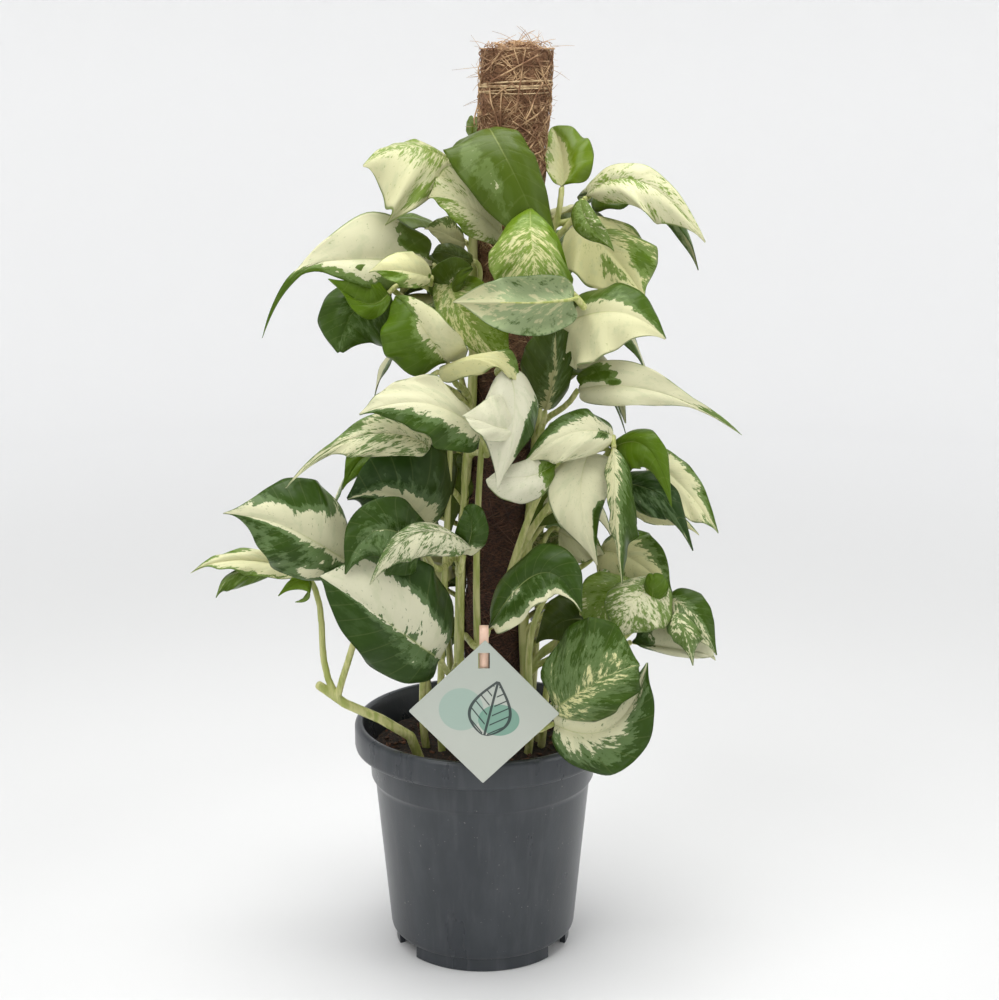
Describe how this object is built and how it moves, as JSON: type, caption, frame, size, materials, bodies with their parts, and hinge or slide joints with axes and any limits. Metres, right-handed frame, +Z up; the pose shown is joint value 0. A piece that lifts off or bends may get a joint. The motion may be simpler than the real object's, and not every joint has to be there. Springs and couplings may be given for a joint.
{
  "type": "potted pothos plant",
  "caption": "Variegated climbing houseplant in a black nursery pot, trained up a coir pole, with a square hanging tag.",
  "frame": {"origin": "on the ground under the centre of the pot, at the flat middle foot of its base", "axes": "+Z up, -Y towards the side that most leaves face, +X to the right seen from there"},
  "size_m": [0.3302, 0.2609, 0.591],
  "materials": {
    "coir_sleeve": "coarse coconut fibre",
    "leaf": "satin variegated leaf, green and cream",
    "nursery_pot": "satin black plastic, lightly dusty",
    "plant_tag": "matt pale green card",
    "pole_stake": "rough core",
    "pole_tie": "straw-coloured wrapping",
    "potting_soil": "damp dark compost with bark",
    "tag_strap": "peach ribbon",
    "vine_stem": "smooth pale green stem"
  },
  "bodies": {
    "root": {"coir_sleeve": "coir_sleeve", "leaf_back_1": "leaf", "leaf_back_2": "leaf", "leaf_back_3": "leaf", "leaf_back_4": "leaf", "leaf_back_5": "leaf", "leaf_back_6": "leaf", "leaf_back_7": "leaf", "leaf_back_8": "leaf", "leaf_back_9": "leaf", "leaf_centre_cup": "leaf", "leaf_centre_dark": "leaf", "leaf_centre_low_small": "leaf", "leaf_centre_marbled": "leaf", "leaf_centre_white": "leaf", "leaf_crown": "leaf", "leaf_crown_left": "leaf", "leaf_crown_left_low": "leaf", "leaf_crown_right": "leaf", "leaf_front_low_arched": "leaf", "leaf_front_low_large": "leaf", "leaf_heart_flap": "leaf", "leaf_heart_front": "leaf", "leaf_left_dark": "leaf", "leaf_left_long": "leaf", "leaf_left_low_green": "leaf", "leaf_left_low_large": "leaf", "leaf_left_low_tip": "leaf", "leaf_left_mid": "leaf", "leaf_left_mid_dark": "leaf", "leaf_left_mid_twisted": "leaf", "leaf_left_small": "leaf", "leaf_left_two_tone": "leaf", "leaf_right_cream": "leaf", "leaf_right_high": "leaf", "leaf_right_high_under": "leaf", "leaf_right_long": "leaf", "leaf_right_low_cream": "leaf", "leaf_right_low_marbled": "leaf", "leaf_right_low_olive": "leaf", "leaf_right_low_pointed": "leaf", "leaf_right_low_white": "leaf", "leaf_right_mid_cream": "leaf", "leaf_right_mid_dark": "leaf", "leaf_right_mid_green": "leaf", "leaf_right_mid_hanging": "leaf", "leaf_right_mid_outer": "leaf", "leaf_rim_right_lower": "leaf", "leaf_rim_right_upper": "leaf", "nursery_pot": "nursery_pot", "plant_tag": "plant_tag", "pole_stake": "pole_stake", "pole_tie": "pole_tie", "potting_soil": "potting_soil", "tag_strap": "tag_strap", "vine_back": "vine_stem", "vine_creeping": "vine_stem", "vine_left": "vine_stem", "vine_right": "vine_stem"}
  },
  "joints": []
}
